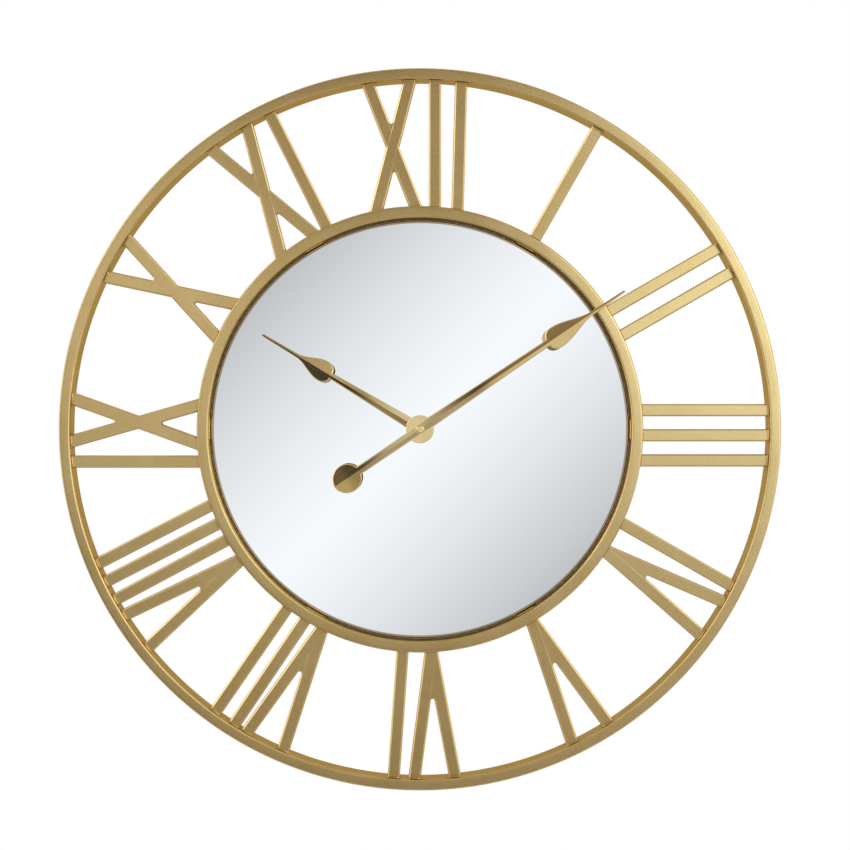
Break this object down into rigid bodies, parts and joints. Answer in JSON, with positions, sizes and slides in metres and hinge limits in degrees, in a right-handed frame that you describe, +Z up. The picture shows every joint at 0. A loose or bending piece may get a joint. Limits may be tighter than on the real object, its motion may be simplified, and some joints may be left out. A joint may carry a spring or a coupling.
{
  "type": "wall clock",
  "caption": "Openwork wall clock: two satin gold rings joined by bar-cut Roman numerals round a mirror, with folded spade hands driven by a quartz movement.",
  "frame": {"origin": "centre of the hanger keyhole's entry, in the plane of the wall", "axes": "+Z up, +X to the right seen from the front, and +Y into the wall, so the dial faces -Y"},
  "size_m": [0.6, 0.0529, 0.6],
  "materials": {
    "gold": "satin gold lacquer, brushed",
    "gold_hands": "satin gold lacquer",
    "mirror": "silvered, clear",
    "tape": "foam, matt",
    "board": "raw fibreboard",
    "steel": "zinc plated",
    "black_rubber": "matt",
    "brass": "bright",
    "black_plastic": "fine spark texture",
    "white_plastic": "natural acetal",
    "magnet": "sintered",
    "copper_wire": "enamelled copper",
    "circuit_laminate": "solder resist",
    "nickel": "nickel plated",
    "cell_can": "plain printed sleeve"
  },
  "bodies": {
    "clock_frame": {"outer_ring": "gold", "inner_ring": "gold", "numeral_1": "gold", "numeral_2": "gold", "numeral_3": "gold", "numeral_4": "gold", "numeral_5": "gold", "numeral_6": "gold", "numeral_7": "gold", "numeral_8": "gold", "numeral_9": "gold", "numeral_10": "gold", "numeral_11": "gold", "numeral_12": "gold", "mirror_glass": "mirror", "mounting_tape": "tape", "backing_board": "board", "board_screws": "steel", "hanger_bracket": "steel", "hanger_screws": "steel", "wall_bumpers": "black_rubber", "bumper_screws": "steel", "movement_case": "black_plastic", "movement_cover": "black_plastic", "rubber_washer": "black_rubber", "brass_washer": "brass", "centre_nut": "brass", "train_plate": "white_plastic", "stator": "steel", "coil_core": "steel", "coil": "copper_wire", "circuit_board": "circuit_laminate", "quartz_crystal": "nickel", "battery_contacts": "nickel"},
    "minute_work": {"minute_hand": "gold_hands", "minute_bush": "brass", "cap_nut": "gold_hands", "minute_arbor": "steel", "centre_wheel": "brass"},
    "hour_work": {"hour_hand": "gold_hands", "hour_bush": "brass", "hour_wheel": "white_plastic"},
    "motion_work": {"minute_wheel": "white_plastic", "set_knob": "black_plastic"},
    "third_arbor": {"third_wheel": "white_plastic"},
    "seconds_arbor": {"seconds_wheel": "white_plastic"},
    "intermediate_arbor": {"intermediate_wheel": "white_plastic"},
    "rotor": {"rotor_magnet": "magnet", "rotor_pinion": "white_plastic"},
    "battery": {"battery_cell": "cell_can"}
  },
  "joints": [
    {"name": "minute_turn", "type": "hinge", "parent": "clock_frame", "child": "minute_work", "pos_m": [0, -0.012, -0.11], "axis": [0, 1, 0], "continuous": true},
    {"name": "hour_turn", "type": "hinge", "parent": "clock_frame", "child": "hour_work", "pos_m": [0, -0.012, -0.11], "axis": [0, 1, 0], "continuous": true},
    {"name": "motion_turn", "type": "hinge", "parent": "clock_frame", "child": "motion_work", "pos_m": [-0.011, -0.012, -0.11], "axis": [0, 1, 0], "continuous": true},
    {"name": "third_turn", "type": "hinge", "parent": "clock_frame", "child": "third_arbor", "pos_m": [0.00885, -0.012, -0.1038], "axis": [0, 1, 0], "continuous": true},
    {"name": "seconds_turn", "type": "hinge", "parent": "clock_frame", "child": "seconds_arbor", "pos_m": [0, -0.012, -0.11], "axis": [0, 1, 0], "continuous": true},
    {"name": "intermediate_turn", "type": "hinge", "parent": "clock_frame", "child": "intermediate_arbor", "pos_m": [-0.00438, -0.012, -0.10242], "axis": [0, 1, 0], "continuous": true},
    {"name": "rotor_turn", "type": "hinge", "parent": "clock_frame", "child": "rotor", "pos_m": [-0.01012, -0.012, -0.0976], "axis": [0, 1, 0], "continuous": true},
    {"name": "battery_slide", "type": "slide", "parent": "clock_frame", "child": "battery", "axis": [0, 1, 0], "range_m": [0, 0.018]}
  ],
  "couplings": [
    {"joint": "hour_turn", "follows": "minute_turn", "ratio": 0.083333},
    {"joint": "motion_turn", "follows": "minute_turn", "ratio": -0.33333},
    {"joint": "third_turn", "follows": "minute_turn", "ratio": -8},
    {"joint": "seconds_turn", "follows": "minute_turn", "ratio": 60},
    {"joint": "intermediate_turn", "follows": "minute_turn", "ratio": -360},
    {"joint": "rotor_turn", "follows": "minute_turn", "ratio": 1800}
  ]
}
